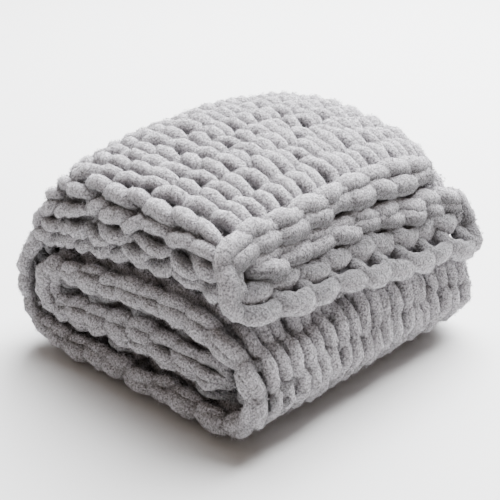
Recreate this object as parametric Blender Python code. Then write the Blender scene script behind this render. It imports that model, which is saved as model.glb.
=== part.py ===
"""Chunky knit blanket, folded in three along its length and rolled up flat. Metres, +Z up.

X runs along the roll: the folded edges are at -X, the selvedge and the second fold at +X.
The roll is four passes high. The blanket's bound-off end lies on top at -Y, and the roll's
big round turn is at +Y. The bundle rests on Z = 0, centred on the origin.
"""

from collections import namedtuple
from math import ceil, copysign, cos, dist, pi, radians, sin

import bmesh
import bpy
import numpy as np

# The knit
CORD = 0.020            # width of one raised cord; two cords make one column of stitches
RIB_DEPTH = 0.0055      # how deep the furrow between two cords is
BEAD = 0.0018           # how much lower a cord is where two stitches join
LEAN = 0.0012           # how far a cord sways sideways within a stitch

# The roll, before it settles
LENGTH = 0.400          # along X
DEPTH = 0.383           # along Y
PASS_GAP = 0.0042

# Thickness of each pass where it leaves the front and the back of the roll
Layer = namedtuple("Layer", "front back")
TOP = Layer(0.069, 0.095)
SECOND = Layer(0.0405, 0.035)
THIRD = Layer(0.049, 0.041)
BOTTOM = Layer(0.033, 0.032)
BIG_TURN_THICK = 0.027  # the cloth is drawn tight round the big turn
BIG_TURN_REACH = 0.096  # how far a turn bulges beyond its straight passes
BIG_TURN_FULLNESS = 0.72  # below 1 its low half is fuller than an ellipse
FRONT_TURN_REACH = 0.066
FRONT_TURN_FULLNESS = 0.98
FRONT_TURN_THICK = 0.036
INNER_TURN_REACH = 0.026
SLIT_RISE = 0.0035      # the innermost turn stands open by twice this
SLIT_LENGTH = 0.07
TURN_CLEARANCE = 0.0105  # between the innermost turn and the big turn round it
END_REACH = 0.034       # the inner end tucks this far into the front turn
END_THICK = 0.033

# The loose end on top
TIP_SETBACK = 0.043     # it lies this far behind the front turn
TIP_LENGTH = 0.042      # it droops over this length
DROOP = 0.008
OPEN_LENGTH = 0.0165    # its plies open over the last of it
OPEN_NEAR = 0.80        # their thickness there against the rest, at the near fold
OPEN_FAR = 1.20
SLANT = 0.50            # the inner ply stands out beyond the outer one
BORDER = 0.0286         # length of the raised bound-off border
BORDER_FADE = 0.013     # it goes over into the columns over the last of that
BORDER_RISE = 0.0035    # height of its loops, one over each column
BORDER_FURROW = 0.0017

# The cloth folded in three: proportions of a pass's thickness
PLY_SHARE = 0.302
GAP_SHARE = (1 - 3 * PLY_SHARE) / 2
FOLD_BULGE = 0.027      # how far the folds reach beyond the flat plies
SELVEDGE_SETBACK = 0.024
TUCK_CLEARANCE = 0.005
FOLD_STEPS = 3
PLAIN_STEPS = 4

# How the bundle settles
CROWN_ALONG = 0.151     # rise of the middle above the ends, along X
CROWN_ACROSS = 0.164    # the same along Y
SAG = 0.004             # the turns sink and bulge low
SPREAD = 0.165          # wider at the floor than on top
EDGE_SHIFT = 0.005      # the folded edges stand in and out
EDGE_WAVES = 2          # so many times over the height of the bundle
EDGE_PHASE = 1.0        # in radians
EDGE_DRIFT = 4.0        # radians in each metre along Y

YARN_COLOR = (0.56, 0.55, 0.56, 1.0)


def middle_level(layer, below, end):
    """Height of a layer's middle at one end, front or back, resting on the layers below."""
    under = sum(getattr(other, end) + PASS_GAP for other in below)
    return under + getattr(layer, end) / 2


def middle_levels(layer, *below):
    return Layer(middle_level(layer, below, "front"), middle_level(layer, below, "back"))


BOTTOM_LEVEL = middle_levels(BOTTOM)
THIRD_LEVEL = middle_levels(THIRD, BOTTOM)
SECOND_LEVEL = middle_levels(SECOND, BOTTOM, THIRD)
TOP_LEVEL = middle_levels(TOP, BOTTOM, THIRD, SECOND)
STACK = TOP_LEVEL.back + TOP.back / 2

BACK_CENTRE = DEPTH / 2 - BIG_TURN_THICK / 2 - BIG_TURN_REACH
FRONT_CENTRE = -DEPTH / 2 + FRONT_TURN_THICK / 2 + FRONT_TURN_REACH
INNER_CENTRE = DEPTH / 2 - BIG_TURN_THICK - TURN_CLEARANCE - THIRD.back / 2 - INNER_TURN_REACH
TIP_Y = -DEPTH / 2 + TIP_SETBACK
END_Y = FRONT_CENTRE - END_REACH

# The route of the folded cloth's middle line, from the loose end on top to the end inside.
# A pass runs straight between two heights; a turn is half an ellipse from one to the other.
Pass = namedtuple("Pass", "name from_y to_y from_level to_level from_thick to_thick steps relief")
Turn = namedtuple("Turn", "name centre_y from_level to_level reach thick fullness steps relief")

ROUTE = (
    Pass("top pass", TIP_Y, BACK_CENTRE, TOP_LEVEL.front, TOP_LEVEL.back,
         TOP.front, TOP.back, 14, 1.0),
    Turn("big turn", BACK_CENTRE, TOP_LEVEL.back, BOTTOM_LEVEL.back,
         BIG_TURN_REACH, BIG_TURN_THICK, BIG_TURN_FULLNESS, 18, 1.0),
    Pass("bottom pass", BACK_CENTRE, FRONT_CENTRE, BOTTOM_LEVEL.back, BOTTOM_LEVEL.front,
         BOTTOM.back, BOTTOM.front, 3, 0.0),
    Turn("front turn", FRONT_CENTRE, BOTTOM_LEVEL.front, SECOND_LEVEL.front,
         -FRONT_TURN_REACH, FRONT_TURN_THICK, FRONT_TURN_FULLNESS, 12, 1.0),
    Pass("second pass", FRONT_CENTRE, INNER_CENTRE, SECOND_LEVEL.front, SECOND_LEVEL.back,
         SECOND.front, SECOND.back, 3, 0.5),
    Turn("inner turn", INNER_CENTRE, SECOND_LEVEL.back + SLIT_RISE, THIRD_LEVEL.back - SLIT_RISE,
         INNER_TURN_REACH, THIRD.back, 1.0, 7, 0.5),
    Pass("third pass", INNER_CENTRE, FRONT_CENTRE, THIRD_LEVEL.back, THIRD_LEVEL.front,
         THIRD.back, THIRD.front, 3, 0.5),
    Pass("inner end", FRONT_CENTRE, END_Y, THIRD_LEVEL.front, THIRD_LEVEL.front,
         THIRD.front, END_THICK, 2, 0.0),
)

Station = namedtuple("Station", "y z thick relief row from_tip")


def smooth_step(value):
    """0 below 0, 1 above 1, with an even slope at both ends."""
    t = min(max(value, 0.0), 1.0)
    return t * t * (3 - 2 * t)


def pass_stations(row, steps):
    """A straight pass. The top one droops at its tip; the inner two part towards their turn."""
    for step in range(steps):
        part = step / row.steps
        y = row.from_y + (row.to_y - row.from_y) * part
        even = smooth_step(part)
        thick = row.from_thick + (row.to_thick - row.from_thick) * even
        level = row.from_level + (row.to_level - row.from_level) * even
        from_tip = y - TIP_Y if row is ROUTE[0] else DEPTH
        slit = smooth_step(1 - (INNER_CENTRE - y) / SLIT_LENGTH)
        away = {"second pass": 1, "third pass": -1}.get(row.name, 0)
        droop = DROOP * smooth_step(1 - from_tip / TIP_LENGTH)
        yield y, level - droop + away * SLIT_RISE * slit, thick, from_tip


def turn_stations(row, before, after):
    """Half an ellipse, whose thickness passes from one pass's to the next one's."""
    centre_z = (row.from_level + row.to_level) / 2
    rise = (row.from_level - row.to_level) / 2
    for step in range(row.steps):
        part = step / row.steps
        angle = pi / 2 - pi * part
        low = angle < 0 if rise > 0 else angle > 0
        power = row.fullness if low else 1.0
        y = row.centre_y + row.reach * max(cos(angle), 0.0) ** power
        z = centre_z + rise * copysign(abs(sin(angle)) ** power, angle)
        middle = 1 - abs(2 * part - 1)
        straight = before if part < 0.5 else after
        yield y, z, straight + (row.thick - straight) * smooth_step(middle), DEPTH


def stations():
    """Points of the middle line in the YZ plane, half a stitch apart where the knit shows."""
    found = []
    for index, row in enumerate(ROUTE):
        if isinstance(row, Pass):
            last = row is ROUTE[-1]
            points = pass_stations(row, row.steps + last)
        else:
            points = turn_stations(row, ROUTE[index - 1].to_thick, ROUTE[index + 1].from_thick)
        for step, (y, z, thick, from_tip) in enumerate(points):
            relief = row.relief if step or not found else min(row.relief, found[-1].relief)
            found.append(Station(y, z, thick, relief, len(found), from_tip))
    return found


def outward_normals(line):
    """Unit normals of the middle line, to the side of the outer ply."""
    points = np.array([(s.y, s.z) for s in line])
    heading = np.gradient(points, axis=0)
    heading /= np.linalg.norm(heading, axis=1)[:, None]
    return np.column_stack([-heading[:, 1], heading[:, 0]])


def arc(centre_x, centre_n, reach, rise, start, end, steps):
    """Points of an elliptic arc in the section, angles in degrees, both ends included."""
    angles = [radians(start + (end - start) * i / steps) for i in range(steps + 1)]
    return [(centre_x + reach * cos(a), centre_n + rise * sin(a)) for a in angles]


def flat_ply(from_x, to_x, n):
    """Points along a flat ply, without its two ends."""
    return [(from_x + (to_x - from_x) * i / PLAIN_STEPS, n) for i in range(1, PLAIN_STEPS)]


def corded_outline(near_x, selvedge_x):
    """The outer ply's outside, round the near fold: a furrow and a crest for each cord.

    Each point has its place in the section, the direction outwards there and its number.
    """
    flat = selvedge_x - near_x
    total = flat + pi * FOLD_BULGE
    cords = ceil(total / CORD)
    points = []
    for index in range(2 * cords):
        along = total * index / (2 * cords)
        if along < flat:
            x, n, nx, nn = selvedge_x - along, 0.5, 0.0, 1.0
        else:
            angle = pi / 2 + (along - flat) / FOLD_BULGE
            nx, nn = cos(angle), sin(angle)
            x, n = near_x + FOLD_BULGE * nx, 0.5 * nn
        points.append((x, n, nx, nn, index))
    return points


def section():
    """Closed outline of the cloth folded in three: x across, n outwards from -0.5 to 0.5.

    The outer ply runs from its selvedge to the near fold, the inner ply from there to the far
    fold, and the middle ply from the far fold back to its edge tucked into the near fold.
    """
    half = PLY_SHARE / 2
    pitch = PLY_SHARE + GAP_SHARE
    near_x = -LENGTH / 2 + FOLD_BULGE
    far_x = LENGTH / 2 - FOLD_BULGE * (1 - PLY_SHARE)
    selvedge_x = LENGTH / 2 - SELVEDGE_SETBACK
    tuck_x = near_x + TUCK_CLEARANCE
    inside_bulge = FOLD_BULGE * (pitch - half) / 0.5
    outline = corded_outline(near_x, selvedge_x)
    inner_outside = [(near_x, -0.5)] + flat_ply(near_x, far_x, -0.5)
    far_fold = arc(far_x, -pitch / 2, LENGTH / 2 - far_x, pitch / 2 + half, -90, 90,
                   2 * FOLD_STEPS)
    middle_top = flat_ply(far_x, tuck_x, half)
    tuck = [(tuck_x, half), (tuck_x - TUCK_CLEARANCE / 2, 0.0), (tuck_x, -half)]
    middle_under = flat_ply(tuck_x, far_x, -half)
    far_inside = arc(far_x, -pitch / 2, FOLD_BULGE * GAP_SHARE, GAP_SHARE / 2, 90, -90, 2)
    inner_inside = flat_ply(far_x, near_x, half - pitch)
    near_inside = arc(near_x, 0.0, inside_bulge, pitch - half, -90, -270, 2 * FOLD_STEPS)
    outer_inside = flat_ply(near_x, selvedge_x, pitch - half)
    selvedge = [(selvedge_x, pitch - half), (selvedge_x + CORD / 4, pitch)]
    plain = (inner_outside + far_fold + middle_top + tuck + middle_under + far_inside
             + inner_inside + near_inside + outer_inside + selvedge)
    return outline, plain


def settle(x, y, z):
    """The bundle's slump as one smooth bend: crowned, sagging at the turns, wider below."""
    along = 2 * x / LENGTH
    across = 2 * y / DEPTH
    height = z / STACK
    z_new = z - SAG * sin(pi * min(height, 1.0)) * across * across
    z_new *= 1 + CROWN_ALONG * (1 - along * along) + CROWN_ACROSS * (1 - across * across)
    y_new = y * (1 + SPREAD * (0.5 - height))
    wave = sin(2 * pi * EDGE_WAVES * height + EDGE_PHASE + EDGE_DRIFT * y)
    x_new = x - EDGE_SHIFT * smooth_step(-along) * wave
    return x_new, y_new, z_new


def opened(x, depth, from_tip):
    """Depth below the outer face, and how far out, where the plies open at the loose end."""
    far = smooth_step(x / LENGTH + 0.5)
    weight = smooth_step(1 - from_tip / OPEN_LENGTH)
    opening = 1 + weight * (OPEN_NEAR + (OPEN_FAR - OPEN_NEAR) * far - 1)
    return depth * opening, depth * opening * SLANT * weight


def corded_section(station, outline, plain):
    """The section at one station in metres, with its cords or its border raised."""
    border = smooth_step((BORDER - station.from_tip) / BORDER_FADE)
    joined = station.row % 2 == 0
    ring = []
    for x, n, nx, nn, index in outline:
        furrow = index % 2 == 0 and index > 0
        left_leg = index // 2 % 2 == 0
        sway = LEAN if joined != left_leg else -LEAN
        rib = -RIB_DEPTH if furrow else -BEAD * joined
        loop = BORDER_RISE * abs(cos(pi * index / 4)) - BORDER_FURROW * furrow
        depth = station.relief * (rib * (1 - border) + loop * border)
        along = station.relief * sway * (1 - border)
        ring.append((x + nx * depth - nn * along, n * station.thick + nn * depth + nx * along))
    return ring + [(x, n * station.thick) for x, n in plain]


def station_ring(station, normal, ring):
    """World points of a section at its station."""
    points = []
    for x, n in ring:
        depth, out = opened(x, station.thick / 2 - n, station.from_tip)
        offset = station.thick / 2 - depth
        y = station.y + offset * normal[0] - out
        points.append(settle(x, y, station.z + offset * normal[1]))
    return points


def centre_on_floor(mesh):
    """Middle of the outline in X and Y on the origin, lowest points on Z = 0."""
    points = np.array([vert.co for vert in mesh.verts])
    low, high = points.min(axis=0), points.max(axis=0)
    shift = (-(low[0] + high[0]) / 2, -(low[1] + high[1]) / 2, -low[2])
    bmesh.ops.translate(mesh, verts=mesh.verts, vec=shift)


def doubled_area(a, b, c):
    """Twice the area of a triangle, below 0 where it runs clockwise."""
    return (b[0] - a[0]) * (c[1] - a[1]) - (b[1] - a[1]) * (c[0] - a[0])


def end_triangles(ring):
    """Triangles that fill a section, by its points' numbers.

    They run between the cloth's two sides from the selvedge to the tucked edge, and each next
    one takes the shorter way across that doesn't double back.
    """
    triangles = []
    side, other = 0, len(ring) - 1
    while other - side > 1:
        ahead = (side, side + 1, other)
        back = (side, other - 1, other)
        ways = [
            (doubled_area(*(ring[index] for index in ahead)) <= 0,
             dist(ring[side + 1], ring[other]), ahead),
            (doubled_area(*(ring[index] for index in back)) <= 0,
             dist(ring[side], ring[other - 1]), back),
        ]
        chosen = min(ways)[-1]
        triangles.append(chosen)
        side, other = (side + 1, other) if chosen is ahead else (side, other - 1)
    return triangles


def build_blanket():
    line = stations()
    outline, plain = section()
    sections = [corded_section(station, outline, plain) for station in line]
    mesh = bmesh.new()
    rings = []
    for station, normal, ring in zip(line, outward_normals(line), sections):
        rings.append([mesh.verts.new(point) for point in station_ring(station, normal, ring)])
    for ring, following in zip(rings, rings[1:]):
        for index in range(len(ring)):
            after = (index + 1) % len(ring)
            mesh.faces.new((ring[index], ring[after], following[after], following[index]))
    for end in (0, -1):
        for triangle in end_triangles(sections[end]):
            mesh.faces.new([rings[end][index] for index in triangle])
    bmesh.ops.recalc_face_normals(mesh, faces=mesh.faces)
    centre_on_floor(mesh)
    data = bpy.data.meshes.new("blanket")
    mesh.to_mesh(data)
    mesh.free()
    return bpy.data.objects.new("blanket", data)


def yarn_material():
    material = bpy.data.materials.new("chenille_yarn")
    material.use_nodes = True
    shader = material.node_tree.nodes["Principled BSDF"]
    shader.inputs["Base Color"].default_value = YARN_COLOR
    shader.inputs["Roughness"].default_value = 0.95
    shader.inputs["Metallic"].default_value = 0.0
    return material


def clear_scene():
    for obj in list(bpy.data.objects):
        bpy.data.objects.remove(obj, do_unlink=True)


clear_scene()
blanket = build_blanket()
blanket.data.materials.append(yarn_material())
bpy.context.scene.collection.objects.link(blanket)
blanket.data.shade_smooth()
blanket.data.set_sharp_from_angle(angle=radians(40))
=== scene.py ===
# Chunky knit blanket, folded in three and rolled into a bundle. Metres, Z up.
# X runs along the roll, the loose end lies on top at -Y, the big round turn is at +Y.
import math
import bpy
import numpy as np
from mathutils import Matrix, Vector


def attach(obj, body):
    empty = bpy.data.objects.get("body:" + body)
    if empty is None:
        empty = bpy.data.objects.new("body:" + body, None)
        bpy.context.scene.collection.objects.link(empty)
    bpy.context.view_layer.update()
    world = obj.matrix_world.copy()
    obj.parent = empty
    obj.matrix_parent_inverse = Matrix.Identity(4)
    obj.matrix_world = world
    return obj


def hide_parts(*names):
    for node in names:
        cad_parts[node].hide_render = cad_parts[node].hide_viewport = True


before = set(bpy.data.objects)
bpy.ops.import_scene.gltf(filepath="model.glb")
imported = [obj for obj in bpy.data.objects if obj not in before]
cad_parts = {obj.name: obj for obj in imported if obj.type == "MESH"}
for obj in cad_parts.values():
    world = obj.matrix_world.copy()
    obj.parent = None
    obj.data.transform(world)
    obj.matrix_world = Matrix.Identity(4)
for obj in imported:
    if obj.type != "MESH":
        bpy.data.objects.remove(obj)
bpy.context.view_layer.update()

pi = math.pi


# the folded and rolled cloth seen along X; each pass has a thickness at its front and back
bundle = {
    "length": 0.400,
    "depth": 0.383,
    "passGap": 0.0010,
    "top": (0.069, 0.095),
    "second": (0.0437, 0.0382),
    "third": (0.0522, 0.0442),
    "bottom": (0.0362, 0.0352),
    "bigTurnThick": 0.017,
    "bigTurnReach": 0.096,
    "bigTurnFullness": 0.72,     # below 1 its low half is fuller than an ellipse
    "frontTurnThick": 0.036,
    "frontTurnReach": 0.066,
    "frontTurnFullness": 0.98,
    "innerTurnReach": 0.026,
    "turnClearance": 0.0045,
    "slitRise": 0.0035,          # the innermost turn stands open by twice this
    "slitLength": 0.07,
    "endReach": 0.042,
    "endThick": 0.039,
    "points": {"top": 140, "bigTurn": 180, "bottom": 100, "frontTurn": 120, "second": 100,
               "innerTurn": 70, "third": 100, "end": 30},
    "tipSetback": 0.043,         # the loose end stops this far behind the front
    "tipLength": 0.042,
    "droop": 0.008,
    "openLength": 0.050,         # the plies spread apart over this length of the loose end
    "openNear": 0.80,
    "openFar": 1.20,
    "slant": 0.50,
    "lipLength": 0.090,          # the lower plies of the loose end stand out over this length
    "lipOut": 0.008,
    "lipDrop": 0.008,            # and hang over the front turn
    "lipNear": 0.20,             # share of both at the near fold
    "lipFar": 0.4,               # share of both at the far fold
    "cornerLift": 0.013,         # the top ply's near corner is drawn up
    "plyShare": 0.302,
    "foldBulge": 0.027,
    "foldFullness": 0.62,        # below 1 the near fold is squarer than an ellipse
    "foldCrowding": 0.016,       # so much more knit goes round the near fold of a thin pass
    "thinPass": 0.065,           # a pass is thin below this, fully so when thinRange thinner
    "thinRange": 0.02,
    "foldRoom": 0.42,            # yarn on a fold goes no deeper than this share of the pass
    "flatRoom": 0.03,            # and on the flat of a ply this much further
    "foldPuff": 0.004,           # the stitches on the near fold stand out this much further
    "selvedgeSetback": 0.024,
    "selvedgeStep": 0.038,       # width of a column in the yarn's loops past a selvedge
    "tuckClearance": 0.005,
    "underClearance": 0.018,     # the inner plies' yarn keeps this far below the outside
    "underColumns": 1.5,         # which it reaches over this many columns of the near fold
    "crownAlong": 0.151,
    "crownAcross": 0.164,
    "sag": 0.004,
    "spread": 0.165,
    "edgeShift": 0.002,          # the near end's passes lie this much out of line
    "edgeWaves": 2,
    "edgePhase": 1.0,
    "edgeDrift": 4.0,
    "centring": (0.002413, 0.001596, 0.0),
}

# the knit: columns of stitches on each part of the folded cloth, from its selvedge inwards
knit = {
    "outerColumns": 11,      # outer ply and near fold
    "innerColumns": 9,       # inner ply
    "farColumns": 2,         # far fold
    "middleColumns": 9,      # middle ply
    "rowPitch": 0.0335,
    "firstRow": 1.2,         # rows from the loose end to the first row's middle
    "lastRow": 0.3,          # rows left free at the inner end
    "turnStretch": 0.40,     # how much longer the stitches are on the front turn
    "turnReach": 1.6,        # which they are up to so many half turns from its middle
    "yarnWidth": 0.0091,     # half of it, along the cloth
    "yarnDepth": 0.0099,     # half of it, through the cloth
    "pinch": 0.25,           # how much thinner the yarn is where it is pulled through
    "loopHeight": 0.80,      # half of a loop, in row pitches
    "loopLean": 0.95,        # above 0.8 the loop is wider at its head than at its feet
    "loopDepth": 0.0068,     # half of how far heads and feet lie behind the legs
    "sunk": 0.0004,          # the legs lie this far below the outside
    "steps": 16,             # points of yarn for each stitch
    "sides": 9,
    "turn": 0.25,            # how far the yarn loops out at a selvedge, in columns
    "turnSteps": 6,
    "endSteps": 3,           # the yarn's own ends are drawn in over so many points
    "endSize": 0.03,
    "lumps": 0.055,
    "paintedShade": 0.30,            # how light the painted shade leaves the yarn deep between the stitches, on its underside and on the web
    "paintedShadeBehind": 0.6,       # and how much more painted shade darkens the yarn where it dives behind
    "uneven": 0.11,          # of a column or row
    "unevenHeight": 0.15,    # of a loop
    "unevenDepth": 0.0011,
    "unevenSize": 0.10,
    "seed": 11,
    "trianglesPerPiece": 195000,
}


# smooth step = t t (3 - 2 t), with t held between 0 and 1
def smooth(value):
    t = np.clip(value, 0.0, 1.0)
    return t * t * (3 - 2 * t)


# the cloth's route seen along X, as points on its middle: straight passes between two heights,
# and half ellipses y = centre + reach cos, z = middle + rise sin between them; each row holds
# y, z, thickness, the direction outwards and the distance from the loose end
def rollLine():
    b = bundle
    points = b["points"]
    layers = [b["bottom"], b["third"], b["second"], b["top"]]
    levels = []
    under = np.zeros(2)
    for layer in layers:
        levels.append(under + np.array(layer) / 2)
        under = under + np.array(layer) + b["passGap"]
    low, third, second, top = levels
    back = b["depth"] / 2 - b["bigTurnThick"] / 2 - b["bigTurnReach"]
    front = -b["depth"] / 2 + b["frontTurnThick"] / 2 + b["frontTurnReach"]
    inner = (b["depth"] / 2 - b["bigTurnThick"] - b["turnClearance"] - b["third"][1] / 2
             - b["innerTurnReach"])
    tip = -b["depth"] / 2 + b["tipSetback"]
    parts = []

    def straight(y0, y1, z0, z1, t0, t1, away, count):
        k = np.arange(count) / count
        even = smooth(k)
        y = y0 + (y1 - y0) * k
        slit = smooth(1 - (inner - y) / b["slitLength"])
        z = z0 + (z1 - z0) * even + away * b["slitRise"] * slit
        parts.append(np.column_stack([y, z, t0 + (t1 - t0) * even]))

    def turn(centre, z0, z1, reach, thick, t0, t1, count, fullness=1.0):
        k = np.arange(count) / count
        angle = pi / 2 - pi * k
        low = angle < 0 if z0 > z1 else angle > 0
        power = np.where(low, fullness, 1.0)
        y = centre + reach * np.maximum(np.cos(angle), 0) ** power
        z = (z0 + z1) / 2 + (z0 - z1) / 2 * np.sign(angle) * np.abs(np.sin(angle)) ** power
        flat = np.where(k < 0.5, t0, t1)
        parts.append(np.column_stack([y, z, flat + (thick - flat) * smooth(1 - abs(2 * k - 1))]))

    straight(tip, back, top[0], top[1], *b["top"], 0, points["top"])
    turn(back, top[1], low[1], b["bigTurnReach"], b["bigTurnThick"],
         b["top"][1], b["bottom"][1], points["bigTurn"], b["bigTurnFullness"])
    straight(back, front, low[1], low[0], b["bottom"][1], b["bottom"][0], 0, points["bottom"])
    turn(front, low[0], second[0], -b["frontTurnReach"], b["frontTurnThick"],
         b["bottom"][0], b["second"][0], points["frontTurn"], b["frontTurnFullness"])
    straight(front, inner, second[0], second[1], *b["second"], 1, points["second"])
    turn(inner, second[1] + b["slitRise"], third[1] - b["slitRise"], b["innerTurnReach"],
         b["third"][1], b["second"][1], b["third"][1], points["innerTurn"])
    straight(inner, front, third[1], third[0], b["third"][1], b["third"][0], -1, points["third"])
    straight(front, front - b["endReach"], third[0], third[0], b["third"][0], b["endThick"], 0,
             points["end"])
    line = np.concatenate(parts)
    fromTip = np.where(np.arange(len(line)) < points["top"], line[:, 0] - tip, b["depth"])
    line[:, 1] -= b["droop"] * smooth(1 - fromTip / b["tipLength"])
    heading = np.gradient(line[:, :2], axis=0)
    width = 9       # points that the heading is evened over
    blur = np.hanning(width) / np.hanning(width).sum()
    heading = np.column_stack([np.convolve(np.pad(one, width // 2, "edge"), blur, "valid")
                               for one in heading.T])
    heading /= np.linalg.norm(heading, axis=1)[:, None]
    normal = np.column_stack([-heading[:, 1], heading[:, 0]])
    outside = line[:, :2] + normal * line[:, 2:3] / 2
    steps = np.linalg.norm(np.diff(outside, axis=0), axis=1)
    along = np.concatenate([[0.0], np.cumsum(steps)])
    return along, np.column_stack([line, normal, fromTip])


lineAlong, lineTable = rollLine()
lineEnd = lineAlong[-1]
partEnds = np.cumsum(list(bundle["points"].values()))
# the outside's length up to the big turn's end, and the front turn's start and end
bigTurnEnd, frontStart, frontEnd = lineAlong[partEnds[1:4]]
columns = [knit[name + "Columns"] for name in ("outer", "inner", "far", "middle")]
columnEnds = np.cumsum(columns)
columnCount = sum(columns)


# outside of the folded section at column q: place (x, n) and the direction outwards there;
# plies are straight, the near fold is x = bulge cos^fullness, n = thick / 2 sin, and the far
# fold half an ellipse
def sectionAt(q, thick):
    b = bundle
    half = b["plyShare"] / 2
    pitch = (1 - b["plyShare"]) / 2
    nearX = -b["length"] / 2 + b["foldBulge"]
    farX = b["length"] / 2 - b["foldBulge"] * (1 - b["plyShare"])
    edgeX = b["length"] / 2 - b["selvedgeSetback"]
    tuckX = nearX + b["tuckClearance"]
    share = [np.clip((q - end) / count + 1, 0, 1) for end, count in zip(columnEnds, columns)]
    flat = edgeX - nearX
    arc = pi / 2 * (b["foldBulge"] + thick / 2 - 2 * knit["yarnDepth"])
    arc = arc + b["foldCrowding"] * smooth((b["thinPass"] - thick) / b["thinRange"])
    along = share[0] * (flat + arc)
    near = pi / 2 + pi * np.maximum(along - flat, 0) / arc
    far = -pi / 2 + pi * share[2]
    pick = [along <= flat, q <= columnEnds[0], q <= columnEnds[1], q <= columnEnds[2], q >= 0]
    x = np.select(pick, [edgeX - along,
                         nearX - b["foldBulge"] * np.abs(np.cos(near)) ** b["foldFullness"],
                         nearX + (farX - nearX) * share[1],
                         farX + (b["length"] / 2 - farX) * np.cos(far),
                         farX + (tuckX - farX) * share[3]])
    n = np.select(pick, [0.5 + 0 * q, 0.5 * np.sin(near), -0.5 + 0 * q,
                         -pitch / 2 + (pitch / 2 + half) * np.sin(far), half + 0 * q]) * thick
    outX = np.select(pick, [0 * q, np.cos(near), 0 * q, np.cos(far), 0 * q])
    outN = np.select(pick, [1 + 0 * q, np.sin(near), -1 + 0 * q, np.sin(far), 1 + 0 * q])
    puff = b["foldPuff"] * np.maximum(-np.cos(near), 0) * (q <= columnEnds[0])
    x = x + puff * outX
    return x, n, outX, outN


# world place of column q, distance v from the loose end along the outside, and depth below
# the outside: section, then route, then the loose end's opening and lip, then the slump of the
# whole bundle, z (1 + crown (1 - x x) + crown (1 - y y)) and y (1 + spread (half - height))
def place(q, v, depth):
    b = bundle
    q, v, depth = np.broadcast_arrays(q, v, depth)
    values = [np.interp(v, lineAlong, column) for column in lineTable.T]
    y, z, thick, normalY, normalZ, fromTip = values
    before = np.minimum(v, 0.0)
    after = np.maximum(v - lineEnd, 0.0)
    y = y + before - after
    fromTip = fromTip + before
    # across the folded cloth
    x, n, outX, outN = sectionAt(np.clip(q, 0, columnCount), thick)
    past = np.maximum(-q, 0) + np.maximum(q - columnCount, 0)
    x = x - depth * outX + past * b["selvedgeStep"] * np.where(q < 0, 1.0, -1.0)
    room = b["foldRoom"] * thick + b["flatRoom"] * (1 - np.abs(outX)) ** 3
    n = n - np.minimum(depth, room) * outN
    under = b["underClearance"] * smooth((q - columnEnds[0]) / b["underColumns"])
    n = np.minimum(n, thick / 2 - under)
    # on to the roll, where the plies of the loose end open
    below = thick / 2 - n
    weight = smooth(1 - fromTip / b["openLength"])
    along = x / b["length"] + 0.5
    opening = 1 + weight * (b["openNear"] - 1 + (b["openFar"] - b["openNear"]) * smooth(along))
    off = thick / 2 - below * opening
    lip = smooth(1 - fromTip / b["lipLength"])
    y = y + off * normalY - below * opening * b["slant"] * lip
    z = z + off * normalZ
    # the loose end's lower plies hang out and its near corner is drawn up
    share = np.clip(below / thick, 0, 1)
    nearRise = smooth(along / 0.3)         # over the first 0.3 of the length
    farRise = smooth(along / 0.4 - 1.5)    # over the last 0.4 of it
    hang = (b["lipNear"] + (1 - b["lipNear"]) * nearRise) * (1 - (1 - b["lipFar"]) * farRise)
    hang = hang * share * lip
    corner = (1 - nearRise) * (1 - share) * smooth(0.5 - fromTip / b["lipLength"] / 4)
    y = y - b["lipOut"] * hang
    z = z - b["lipDrop"] * hang + b["cornerLift"] * corner * 2
    # crown, sag and spread of the whole bundle
    stack = sum(b[name][1] for name in ("top", "second", "third", "bottom")) + 3 * b["passGap"]
    lengthwise = 2 * x / b["length"]
    across = 2 * y / b["depth"]
    height = z / stack
    newZ = z - b["sag"] * np.sin(pi * np.minimum(height, 1.0)) * across ** 2
    newZ = newZ * (1 + b["crownAlong"] * (1 - lengthwise ** 2)
                   + b["crownAcross"] * (1 - across ** 2))
    newY = y * (1 + b["spread"] * (0.5 - height))
    wave = np.sin(2 * pi * b["edgeWaves"] * height + b["edgePhase"] + b["edgeDrift"] * y)
    newX = x - b["edgeShift"] * smooth(-lengthwise) * wave
    return np.stack([newX, newY, newZ], axis=-1) + np.array(b["centring"])


# mesh object from points and faces, smooth shaded, with the painted shade at each point
def meshPiece(name, points, faces, material, shade):
    data = bpy.data.meshes.new(name)
    points = np.asarray(points, np.float32)
    faces = np.asarray(faces, np.int32)
    size = faces.shape[1]
    data.vertices.add(len(points))
    data.vertices.foreach_set("co", points.ravel())
    data.loops.add(faces.size)
    data.loops.foreach_set("vertex_index", faces.ravel())
    data.polygons.add(len(faces))
    data.polygons.foreach_set("loop_start", np.arange(len(faces), dtype=np.int32) * size)
    data.polygons.foreach_set("loop_total", np.full(len(faces), size, np.int32))
    data.update(calc_edges=True)
    data.validate()
    data.polygons.foreach_set("use_smooth", np.ones(len(data.polygons), bool))
    light = data.attributes.new("shade", "FLOAT", "POINT")
    light.data.foreach_set("value", np.asarray(shade, np.float32))
    data.materials.append(material)
    piece = bpy.data.objects.new(name, data)
    bpy.context.scene.collection.objects.link(piece)
    return piece


# smooth unevenness: random values at two knots to each column, joined by cosine steps
def wander(rng, count, at, low, high):
    values = rng.normal(size=(count, int(high - low) * 2 + 3))
    knot = (np.clip(at, low, high) - low) * 2
    base = np.floor(knot).astype(int)
    part = 0.5 - 0.5 * np.cos(pi * (knot - base))
    return values[:, base] * (1 - part) + values[:, base + 1] * part


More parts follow.
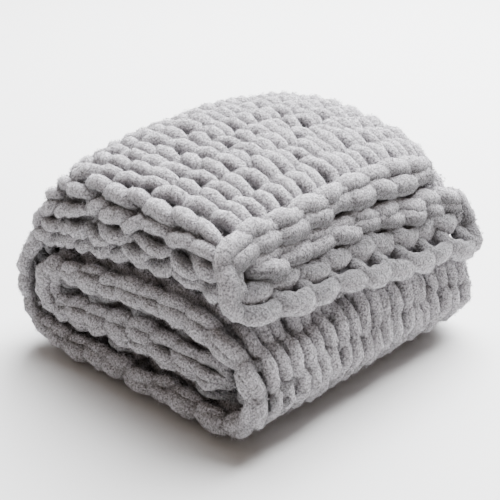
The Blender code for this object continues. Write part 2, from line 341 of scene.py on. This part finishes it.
# the yarn's line through the knit: along a row column = t + lean sin 2t, distance = height cos t,
# depth = yarn + loop depth (1 + cos 2t), legs in front; every other row runs back
def yarnLines(rows, pitches):
    k = knit
    rng = np.random.default_rng(k["seed"])
    t = -pi + np.arange(columnCount * k["steps"] + 1) * 2 * pi / k["steps"]
    baseQ = (t + k["loopLean"] * np.sin(2 * t)) / (2 * pi) + 0.5
    lift = k["loopHeight"] * np.cos(t)
    behind = 0.5 + 0.5 * np.cos(2 * t)
    lines = []
    for number, (row, pitch) in enumerate(zip(rows, pitches)):
        shiftQ, shiftV, shiftD, swell = wander(rng, 4, baseQ, 0, columnCount)
        q = baseQ + k["uneven"] * shiftQ
        v = row + pitch * (lift * (1 + k["unevenHeight"] * shiftV) + k["uneven"] * shiftV)
        depth = (k["yarnDepth"] + 2 * k["loopDepth"] * behind + k["sunk"]
                 + k["unevenDepth"] * np.abs(shiftD))
        size = (1 - k["pinch"] * behind) * (1 + k["unevenSize"] * swell)
        # last column: lightness left by painted shade, darker where the yarn dives behind
        line = np.column_stack([q, v, depth, size, 1 - k["paintedShadeBehind"] * behind])
        lines.append(line[::-1] if number % 2 else line)
    return lines


# rows joined into one yarn: at each edge it turns back in a loop, column = end + turn sin pi s,
# everything else even between the two ends
def yarnPath(rows):
    s = np.linspace(0, 1, knit["turnSteps"] + 2)[1:-1, None]
    parts = [rows[0]]
    for before, after in zip(rows, rows[1:]):
        turn = before[-1] + (after[0] - before[-1]) * s
        way = -1 if before[-1, 0] < columnCount / 2 else 1
        turn[:, 0] += way * knit["turn"] * np.sin(pi * s[:, 0])
        parts += [turn, after]
    return np.concatenate(parts)


# the bound-off end: strands of yarn that wind along it, one lobe to each column
border = {
    "columns": (0, 9, 11, 20, 22, 31),      # outer ply, near fold, inner ply, far fold, middle ply
    # each strand: where it starts and ends, then its distance from the end of the cloth and its
    # depth below the outside at those columns
    "strands": [(0.3, 30.7, (0.008, 0.006, -0.001, -0.002, 0.004, 0.008),
                 (0.0075, 0.0075, 0.0060, 0.0060, 0.0075, 0.0075)),
                (0.3, 30.7, (0.004, 0.004, 0.004, 0.004, 0.004, 0.004),
                 (0.0130, 0.0160, 0.0175, 0.0175, 0.0150, 0.0110)),
                (11.2, 21.6, (0, 0, 0.007, 0.006, 0.004, 0), (0, 0, 0.0115, 0.0115, 0.0115, 0))],
    "lobe": 0.29,            # above 0.16 the lobes overlap
    "slant": 0.0010,         # half of how far a lobe leans across the strand
    "rise": 0.0042,          # half of how far they wind in and out
    "facing": 0.85,          # radians from facing straight outwards to facing off the end
    "yarn": 0.0110,          # half of its width in a lobe's middle
    "pinch": 0.13,           # half of how much thinner it is between lobes
    "paintedShade": 0.35,            # half of how much painted shade darkens the yarn there
    "unevenRise": 0.0009,
    "unevenSlant": 0.0012,
    "unevenColumn": 0.05,
    "unevenSize": 0.09,
    "steps": 14,
    "seed": 81,
}


# strands along the bound-off end: column = t + lobe sin t, out = rise cos t, across = slant sin t,
# where out faces off the end by the facing angle
def borderLines():
    b = border
    rng = np.random.default_rng(b["seed"])
    lines = []
    for first, last, distances, depths in b["strands"]:
        turns = np.arange(int((last - first) * b["steps"]) + 1) / b["steps"] + rng.uniform(0, 0.5)
        t = 2 * pi * turns
        q = first + turns + b["lobe"] * np.sin(t)
        shiftQ, shiftA, shiftD, swell = wander(rng, 4, q, 0, columnCount)
        inwards = b["rise"] * (1 - np.cos(t)) + b["unevenRise"] * shiftD
        across = b["slant"] * np.sin(t) + b["unevenSlant"] * shiftA
        v = np.interp(q, b["columns"], distances)
        depth = np.interp(q, b["columns"], depths)
        v = v + inwards * np.sin(b["facing"]) + across * np.cos(b["facing"])
        depth = depth + inwards * np.cos(b["facing"]) - across * np.sin(b["facing"])
        size = b["yarn"] / knit["yarnWidth"] * (1 - b["pinch"] + b["pinch"] * np.cos(t))
        size = size * (1 + b["unevenSize"] * swell)
        # painted shade between the lobes
        light = 1 - b["paintedShade"] + b["paintedShade"] * np.cos(t)
        q = np.clip(q + b["unevenColumn"] * shiftQ, first, last)
        lines.append(np.column_stack([q, v, depth, size, light]))
    return lines


# tube of elliptic section carried along a world line: ring = centre + across cos + outwards sin
def tube(points, outward, width, height, sides):
    tangent = np.gradient(points, axis=0)
    tangent /= np.linalg.norm(tangent, axis=1)[:, None]
    outward = outward - (outward * tangent).sum(1)[:, None] * tangent
    outward /= np.linalg.norm(outward, axis=1)[:, None]
    across = np.cross(tangent, outward)
    angle = 2 * pi * np.arange(sides) / sides
    ring = (points[:, None, :]
            + np.cos(angle)[None, :, None] * (across * width[:, None])[:, None, :]
            + np.sin(angle)[None, :, None] * (outward * height[:, None])[:, None, :])
    count = len(points)
    first = np.arange(count - 1)[:, None] * sides + np.arange(sides)[None, :]
    second = np.arange(count - 1)[:, None] * sides + (np.arange(sides)[None, :] + 1) % sides
    faces = np.stack([first, first + sides, second + sides, second], axis=-1).reshape(-1, 4)
    return ring.reshape(-1, 3), faces


# direction outwards at points on the yarn = the point less the place a millimetre deeper
def outwardsAt(path, points):
    return points - place(path[:, 0], path[:, 1], path[:, 2] + 0.001)


# weight of painted light: 0 on the yarn's underside, left in painted shade, and 1 on its lit
# crown, from the sine of the angle round it
def crownLight(sine):
    return smooth((sine + 0.5) / 1.3)


# nothing comes closer to the floor than this
floorGap = {"yarn": 0.0004, "plush": 0.0003, "web": 0.002}


# yarn laid along its line as one tube: world points from place, ends drawn in, a little lumpy;
# painted shade darkens the underside and where the yarn dives behind
def yarnPiece(name, lines, material):
    k = knit
    rng = np.random.default_rng(k["seed"] + len(name))
    path = yarnPath(lines)
    points = place(*path[:, :3].T)
    end = np.minimum(np.arange(len(path)), np.arange(len(path))[::-1])
    size = path[:, 3] * (k["endSize"] + (1 - k["endSize"]) * smooth(end / k["endSteps"]))
    ring, faces = tube(points, outwardsAt(path, points), k["yarnWidth"] * size,
                       k["yarnDepth"] * size, k["sides"])
    lumps = 1 + k["lumps"] * rng.normal(size=(len(ring), 1))
    middle = np.repeat(points, k["sides"], axis=0)
    ring = middle + (ring - middle) * lumps
    ring[:, 2] = np.maximum(ring[:, 2], floorGap["yarn"])
    up = np.sin(2 * pi * np.arange(k["sides"]) / k["sides"])
    # painted shade: the yarn's underside and its dives behind come out darker
    shade = k["paintedShade"] + (1 - k["paintedShade"]) * crownLight(up[None, :]) * path[:, 4:5]
    return meshPiece(name, ring, faces, material, shade.ravel())


# the yarn's finish: grain of the pile, its tufts, and broad patches of the dye
yarnFinish = {
    "roughness": 0.95,
    "sheen": 0.35,
    "sheenRoughness": 0.5,
    "specular": 0.15,
    "grain": {"scale": 450, "detail": 4, "roughness": 0.7},
    "tufts": {"scale": 190, "detail": 1, "roughness": 0.5},
    "patches": {"scale": 28, "detail": 2, "roughness": 0.5},
    "grainTone": ((0.385, (0.22, 0.21, 0.22)), (0.60, (0.84, 0.81, 0.86))),
    "patchTone": ((0.35, (0.90, 0.89, 0.89)), (0.65, (1, 1, 1))),
    "tuftHeight": 0.9,       # beside the grain's
    "bump": 0.0045,
}


# noise on the piece's own coordinates
def noiseNode(tree, where, scale, detail, roughness):
    node = tree.nodes.new("ShaderNodeTexNoise")
    node.inputs["Scale"].default_value = scale
    node.inputs["Detail"].default_value = detail
    node.inputs["Roughness"].default_value = roughness
    tree.links.new(where.outputs["Object"], node.inputs["Vector"])
    return node.outputs["Fac"]


# colour between two stops, each a position and a colour
def toneNode(tree, factor, stops):
    node = tree.nodes.new("ShaderNodeValToRGB")
    for element, (position, color) in zip(node.color_ramp.elements, stops):
        element.position = position
        element.color = (*color, 1)
    tree.links.new(factor, node.inputs["Fac"])
    return node.outputs["Color"]


# first colour x second colour
def timesNode(tree, first, second):
    node = tree.nodes.new("ShaderNodeMix")
    node.data_type = "RGBA"
    node.blend_type = "MULTIPLY"
    node.inputs["Factor"].default_value = 1
    tree.links.new(first, node.inputs["A"])
    tree.links.new(second, node.inputs["B"])
    return node.outputs["Result"]


# plush yarn: colour = grain colour x patch colour x painted shade, height = grain + tuftHeight x
# tufts
def yarnMaterial():
    look = yarnFinish
    material = bpy.data.materials.new("plush_yarn")
    material.use_nodes = True
    tree = material.node_tree
    shader = tree.nodes["Principled BSDF"]
    shader.inputs["Roughness"].default_value = look["roughness"]
    shader.inputs["Sheen Weight"].default_value = look["sheen"]
    shader.inputs["Sheen Roughness"].default_value = look["sheenRoughness"]
    shader.inputs["Specular IOR Level"].default_value = look["specular"]
    where = tree.nodes.new("ShaderNodeTexCoord")
    grain = noiseNode(tree, where, **look["grain"])
    tufts = noiseNode(tree, where, **look["tufts"])
    patches = noiseNode(tree, where, **look["patches"])
    color = timesNode(tree, toneNode(tree, grain, look["grainTone"]),
                      toneNode(tree, patches, look["patchTone"]))
    # the painted shade stored on each piece's points darkens the colour
    shade = tree.nodes.new("ShaderNodeAttribute")
    shade.attribute_name = "shade"
    color = timesNode(tree, color, shade.outputs["Fac"])
    tree.links.new(color, shader.inputs["Base Color"])
    height = tree.nodes.new("ShaderNodeMath")
    height.operation = "MULTIPLY_ADD"
    height.inputs[1].default_value = look["tuftHeight"]
    tree.links.new(tufts, height.inputs[0])
    tree.links.new(grain, height.inputs[2])
    bump = tree.nodes.new("ShaderNodeBump")
    bump.inputs["Strength"].default_value = 1.0
    bump.inputs["Distance"].default_value = look["bump"]
    tree.links.new(height.outputs["Value"], bump.inputs["Height"])
    tree.links.new(bump.outputs["Normal"], shader.inputs["Normal"])
    return material


# where the rows lie: row number = sum of steps / pitch, and the pitch is longer on the front turn
def rowPlaces():
    k = knit
    v = np.linspace(0, lineEnd, 2000)
    middle = (frontStart + frontEnd) / 2
    near = smooth(k["turnReach"] - np.abs(v - middle) / (frontEnd - frontStart) * 2)
    pitch = k["rowPitch"] * (1 + k["turnStretch"] * near)
    count = np.cumsum((v[1] - v[0]) / pitch)
    rows = np.interp(np.arange(k["firstRow"], count[-1] - k["lastRow"]), count, v)
    return rows, np.interp(rows, v, pitch)


yarnLook = yarnMaterial()
lines = yarnLines(*rowPlaces())
trianglesPerRow = 2 * knit["sides"] * (len(lines[0]) + knit["turnSteps"])
perPiece = knit["trianglesPerPiece"] // trianglesPerRow
rowPieces = []
for first in range(0, len(lines), perPiece):
    name = "knit_rows_%d" % (len(rowPieces) + 1)
    rowPieces.append(yarnPiece(name, lines[first:first + perPiece], yarnLook))
print("stage: %d rows of %d stitches in %d pieces" % (len(lines), columnCount, len(rowPieces)))

borders = borderLines()
for number, line in enumerate(borders):
    rowPieces.append(yarnPiece("bound_off_edge_%d" % (number + 1), [line], yarnLook))
print("stage: bound-off edge")

# the plush: short fibres that stand out of the yarn where it can be seen
plush = {
    "fibres": 510000,
    "pieces": 3,
    "length": 0.0024,
    "lengths": (0.6, 1.3),       # shortest and longest, times the length
    "width": 0.00062,
    "spread": 0.6,               # how far the fibres lean at random
    "around": 0.35,              # radians that they reach down the yarn's sides
    "root": 0.97,                # how far out they start, as a share of the yarn
    "longestStep": 0.018,        # none where the yarn's points are further apart
    "paintedShade": 0.35,                # painted shade on the yarn's sides
    "paintedCrownLight": 1.15,              # painted light on its crown
    "brightness": (0.5, 1.45),   # of one fibre and another
    "paintedRootShadeTipLight": (0.7, 0.7, 1.1),     # painted shade at the two corners of the root, painted light at the tip
    "rim": 1.2,                  # columns at the selvedge that show
    "looseEnd": 0.07,            # length of the loose end that shows on all sides
    "seed": 5,
}


# places on the yarn that show: the roll's outside, the folds at both its ends, the loose end
def shows(q, v):
    outerEnd, innerEnd, farEnd = columnEnds[:3]
    outside = (v < bigTurnEnd) | ((v > frontStart) & (v < frontEnd))
    outer = (q < outerEnd - 2) & outside
    nearFold = (q > outerEnd - 3) & (q < outerEnd + 1)
    farFold = (q > innerEnd - 0.7) & (q < farEnd + 0.7)
    return outer | nearFold | farFold | (q < plush["rim"]) | (v < plush["looseEnd"])


# fibres as thin triangles: root = yarn's middle + across cos + outwards sin, tip = root + length
# times the yarn's own outward direction there with a random lean; as many on each centimetre
def plushPieces(path, material):
    p = plush
    rng = np.random.default_rng(p["seed"])
    points = place(*path[:, :3].T)
    outward = outwardsAt(path, points)
    tangent = np.concatenate([np.gradient(points[:-1], axis=0), np.zeros((1, 3))])
    stretch = np.linalg.norm(tangent, axis=1)
    good = (stretch > 1e-6) & (stretch < p["longestStep"])
    choice = np.flatnonzero(good & shows(path[:, 0], path[:, 1]))
    chance = stretch[choice] / stretch[choice].sum()
    pieces = []
    for number in range(p["pieces"]):
        pick = rng.choice(choice, p["fibres"] // p["pieces"], p=chance)
        ahead = tangent[pick]
        step = rng.uniform(-0.5, 0.5, len(pick))
        centre = points[pick] + ahead * step[:, None]
        ahead = ahead / np.linalg.norm(ahead, axis=1)[:, None]
        out = outward[pick] - (outward[pick] * ahead).sum(1)[:, None] * ahead
        out /= np.linalg.norm(out, axis=1)[:, None]
        across = np.cross(ahead, out)
        angle = rng.uniform(-p["around"], pi + p["around"], len(pick))
        cos, sin = np.cos(angle)[:, None], np.sin(angle)[:, None]
        wide = (knit["yarnWidth"] * path[pick, 3] * p["root"])[:, None]
        high = (knit["yarnDepth"] * path[pick, 3] * p["root"])[:, None]
        root = centre + across * wide * cos + out * high * sin
        way = across * cos * high + out * sin * wide
        lean = p["spread"] * rng.normal(size=way.shape)
        way = way / np.linalg.norm(way, axis=1)[:, None] + lean
        way /= np.linalg.norm(way, axis=1)[:, None]
        length = p["length"] * rng.uniform(*p["lengths"], (len(pick), 1))
        side = np.cross(way, rng.normal(size=way.shape))
        side *= p["width"] / 2 / np.linalg.norm(side, axis=1)[:, None]
        corners = np.stack([root - side, root + side, root + way * length], axis=1)
        corners = corners.reshape(-1, 3)
        corners[:, 2] = np.maximum(corners[:, 2], floorGap["plush"])
        faces = np.arange(len(corners)).reshape(-1, 3)
        # painted light on the crown, painted shade on the sides, at the roots and where the yarn
        # dives behind
        light = p["paintedShade"] + (p["paintedCrownLight"] - p["paintedShade"]) * crownLight(sin) * path[pick, 4:5]
        light = light * rng.uniform(*p["brightness"], (len(pick), 1)) * np.array([p["paintedRootShadeTipLight"]])
        pieces.append(meshPiece("plush_%d" % (number + 1), corners, faces, material,
                                light.ravel()))
    return pieces


rowPieces += plushPieces(np.concatenate([yarnPath(lines)] + borders), yarnLook)
print("stage: plush")

# a thin uneven sheet a little below the outside, standing for the cloth seen between the stitches
# and coloured all over with painted shade
web = {
    "depth": 0.0185,
    "share": 0.45,           # and no deeper than this share of the pass
    "tipRise": 0.26,         # how much less deep it lies at the far fold of the loose end
    "tipLength": 0.05,
    "wave": 0.0012,
    "hem": 0.004,            # left free at both ends of the cloth
    "edges": (0.4, 0.05),    # columns left free at both selvedges
    "acrossSteps": 93,
    "alongSteps": 170,
}


# the web: depth = even depth, less at the far fold's tip, + wave sin(columns) sin(rows)
def webSheet(material):
    w = web
    q = np.linspace(w["edges"][0], columnCount - w["edges"][1], w["acrossSteps"])
    v = np.linspace(w["hem"], lineEnd - w["hem"], w["alongSteps"])
    gridV, gridQ = np.meshgrid(v, q, indexing="ij")
    thick = np.interp(gridV, lineAlong, lineTable[:, 2])
    farTip = smooth(1.5 - np.abs(gridQ - columnEnds[1:3].mean()) / 2)
    farTip = farTip * smooth(1 - gridV / w["tipLength"])
    depth = np.minimum(w["depth"], w["share"] * thick) * (1 - w["tipRise"] * farTip)
    wave = np.sin(2 * pi * gridV / knit["rowPitch"])
    depth = depth + w["wave"] * np.sin(2 * pi * gridQ) * wave
    points = place(gridQ, gridV, depth)
    points[..., 2] = np.maximum(points[..., 2], floorGap["web"])
    rows, cols = gridQ.shape
    corner = np.arange(rows - 1)[:, None] * cols + np.arange(cols - 1)[None, :]
    faces = np.stack([corner, corner + 1, corner + 1 + cols, corner + cols], axis=-1)
    # painted shade over the whole web
    shade = np.full(rows * cols, knit["paintedShade"])
    return meshPiece("knit_web", points.reshape(-1, 3), faces.reshape(-1, 4), material, shade)


webPiece = webSheet(yarnLook)
print("stage: web")

for piece in rowPieces + [webPiece]:
    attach(piece, "root")
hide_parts("blanket")
print("stage: %d pieces ride on the root" % (len(rowPieces) + 1))

# the stage: a pale floor, warm dim surroundings and one large soft lamp to the side
stage = {
    "floorSize": 14,
    "floorColor": (0.70, 0.70, 0.70),
    "floorRoughness": 0.7,
    "roomColor": (1.0, 0.86, 0.75),
    "roomStrength": 0.33,
    "lampPlace": (1.42, 0.52, 2.45),
    "lampSize": 3.0,
    "lampPower": 790,
    "lampColor": (0.97, 0.985, 1.0),
    "lampAim": (0, 0, 0.1),
}


# one colour and one roughness all over
def plainMaterial(name, color, roughness):
    material = bpy.data.materials.new(name)
    material.use_nodes = True
    shader = material.node_tree.nodes["Principled BSDF"]
    shader.inputs["Base Color"].default_value = (*color, 1)
    shader.inputs["Roughness"].default_value = roughness
    return material


# soft square lamp at a place, turned so that it looks at the aim
def softLamp(name, location, aim, size, power, color):
    lamp = bpy.data.lights.new(name, "AREA")
    lamp.size = size
    lamp.energy = power
    lamp.color = color
    holder = bpy.data.objects.new(name, lamp)
    holder.location = location
    holder.rotation_euler = (Vector(aim) - Vector(location)).to_track_quat("-Z", "Y").to_euler()
    bpy.context.scene.collection.objects.link(holder)


bpy.ops.mesh.primitive_plane_add(size=stage["floorSize"], location=(0, 0, 0))
floor = bpy.context.object
floor.name = "floor"
floor.data.materials.append(plainMaterial("pale_floor", stage["floorColor"],
                                          stage["floorRoughness"]))

world = bpy.data.worlds.new("soft_room")
bpy.context.scene.world = world
world.use_nodes = True
room = world.node_tree.nodes["Background"]
room.inputs["Color"].default_value = (*stage["roomColor"], 1)
room.inputs["Strength"].default_value = stage["roomStrength"]

softLamp("window_light", stage["lampPlace"], stage["lampAim"], stage["lampSize"],
         stage["lampPower"], stage["lampColor"])
print("stage: floor, room and lamp")

# camera matched to the photo's outline: angles in degrees, focal length in pixels of its frame
view = {
    "azimuth": 43.0878,
    "pitch": 24.8996,
    "distance": 1.4204,
    "right": 0.0022,
    "up": -0.0120,
    "target": (0, 0, 0.1),
    "pixels": 1200,
    "frame": 500,
    "sensor": 36,
}
azimuth, pitch = math.radians(view["azimuth"]), math.radians(view["pitch"])
ahead = Vector((math.cos(pitch) * math.cos(azimuth), math.cos(pitch) * math.sin(azimuth),
                -math.sin(pitch)))
right = Vector((math.sin(azimuth), -math.cos(azimuth), 0))
up = right.cross(ahead)
eye = Vector(view["target"]) - ahead * view["distance"] - right * view["right"] - up * view["up"]
lens = bpy.data.cameras.new("camera")
lens.sensor_width = view["sensor"]
lens.lens = view["sensor"] * view["pixels"] / view["frame"]
camera = bpy.data.objects.new("camera", lens)
camera.matrix_world = Matrix.Translation(eye) @ Matrix((right, up, -ahead)).transposed().to_4x4()
bpy.context.scene.collection.objects.link(camera)
bpy.context.scene.camera = camera
print("stage: camera")
